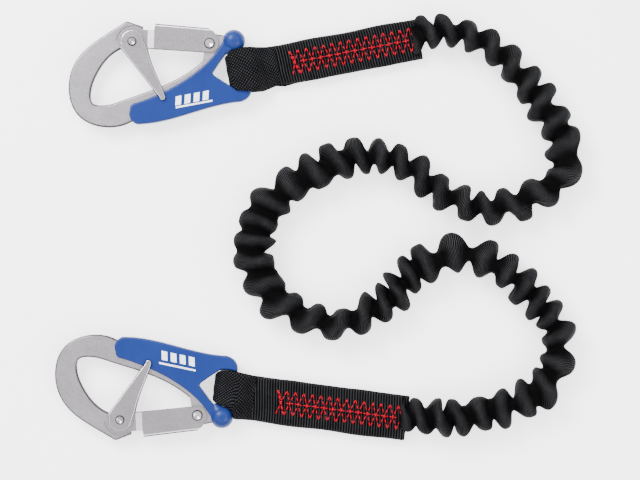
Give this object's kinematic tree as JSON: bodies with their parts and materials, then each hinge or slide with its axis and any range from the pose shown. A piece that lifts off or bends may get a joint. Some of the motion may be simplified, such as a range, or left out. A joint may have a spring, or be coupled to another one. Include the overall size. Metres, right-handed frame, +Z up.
{
  "type": "elastic safety lanyard with two double-action hooks",
  "caption": "Elastic webbing safety lanyard laid in an S, with a flat steel double-action hook with a blue grip sewn on at each end.",
  "frame": {"origin": "on the floor, under the middle of the box round the two hooks and their straps", "axes": "+Z up off the floor, +Y from hook b towards hook a, +X from the hooks towards the elastic tube"},
  "size_m": [0.3179, 0.258, 0.022],
  "materials": {
    "hook_steel": "satin stainless plate, fine blasted grain",
    "pressed_steel": "satin stainless pressing",
    "rivet_steel": "polished stainless",
    "spring_steel": "drawn wire",
    "blue_plastic": "semi-matt moulded plastic",
    "loop_webbing": "black diagonal-weave polyester webbing",
    "tube_webbing": "black cross-ribbed tubular webbing",
    "red_thread": "bonded polyester thread",
    "latex": "natural rubber strands"
  },
  "bodies": {
    "webbing": {"webbing_sleeve": "tube_webbing", "elastic_core": "latex", "loop_strap_a": "loop_webbing", "sewn_end_a": "tube_webbing", "stitching_a": "red_thread", "loop_strap_b": "loop_webbing", "sewn_end_b": "tube_webbing", "stitching_b": "red_thread"},
    "hook_a": {"hook_body_a": "hook_steel", "grip_cover_a": "blue_plastic"},
    "gate_a": {"gate_a": "pressed_steel", "gate_rivet_a": "rivet_steel", "spring_pin_a": "rivet_steel", "gate_spring_a": "spring_steel", "lever_spring_a": "spring_steel", "lever_bush_a": "rivet_steel"},
    "lever_a": {"lever_a": "pressed_steel", "lever_rivet_a": "rivet_steel"},
    "hook_b": {"hook_body_b": "hook_steel", "grip_cover_b": "blue_plastic"},
    "gate_b": {"gate_b": "pressed_steel", "gate_rivet_b": "rivet_steel", "spring_pin_b": "rivet_steel", "gate_spring_b": "spring_steel", "lever_spring_b": "spring_steel", "lever_bush_b": "rivet_steel"},
    "lever_b": {"lever_b": "pressed_steel", "lever_rivet_b": "rivet_steel"}
  },
  "joints": [
    {"name": "hook_swing_a", "type": "hinge", "parent": "webbing", "child": "hook_a", "pos_m": [-0.00304, 0.0963, 0.0068], "axis": [-0.1633, 0.9866, 0], "range_deg": [-80, 80]},
    {"name": "gate_open_a", "type": "hinge", "parent": "hook_a", "child": "gate_a", "pos_m": [-0.01891, 0.11203, 0.0068], "axis": [0, 0, 1], "range_deg": [0, 23], "stiffness_Nm_per_rad": 0.05, "springref_deg": -20.05, "deforming": ["gate_spring_a"]},
    {"name": "lever_squeeze_a", "type": "hinge", "parent": "gate_a", "child": "lever_a", "pos_m": [-0.0651, 0.113, 0.0068], "axis": [0, 0, 1], "range_deg": [0, 45], "stiffness_Nm_per_rad": 0.02, "springref_deg": -20.05, "deforming": ["lever_spring_a"]},
    {"name": "hook_swing_b", "type": "hinge", "parent": "webbing", "child": "hook_b", "pos_m": [-0.01086, -0.09414, 0.0068], "axis": [0.1288, 0.9917, 0], "range_deg": [-80, 80]},
    {"name": "gate_open_b", "type": "hinge", "parent": "hook_b", "child": "gate_b", "pos_m": [-0.02617, -0.11042, 0.0068], "axis": [0, 0, -1], "range_deg": [0, 23], "stiffness_Nm_per_rad": 0.05, "springref_deg": -20.05, "deforming": ["gate_spring_b"]},
    {"name": "lever_squeeze_b", "type": "hinge", "parent": "gate_b", "child": "lever_b", "pos_m": [-0.0723, -0.113, 0.0068], "axis": [0, 0, -1], "range_deg": [0, 45], "stiffness_Nm_per_rad": 0.02, "springref_deg": -20.05, "deforming": ["lever_spring_b"]}
  ]
}
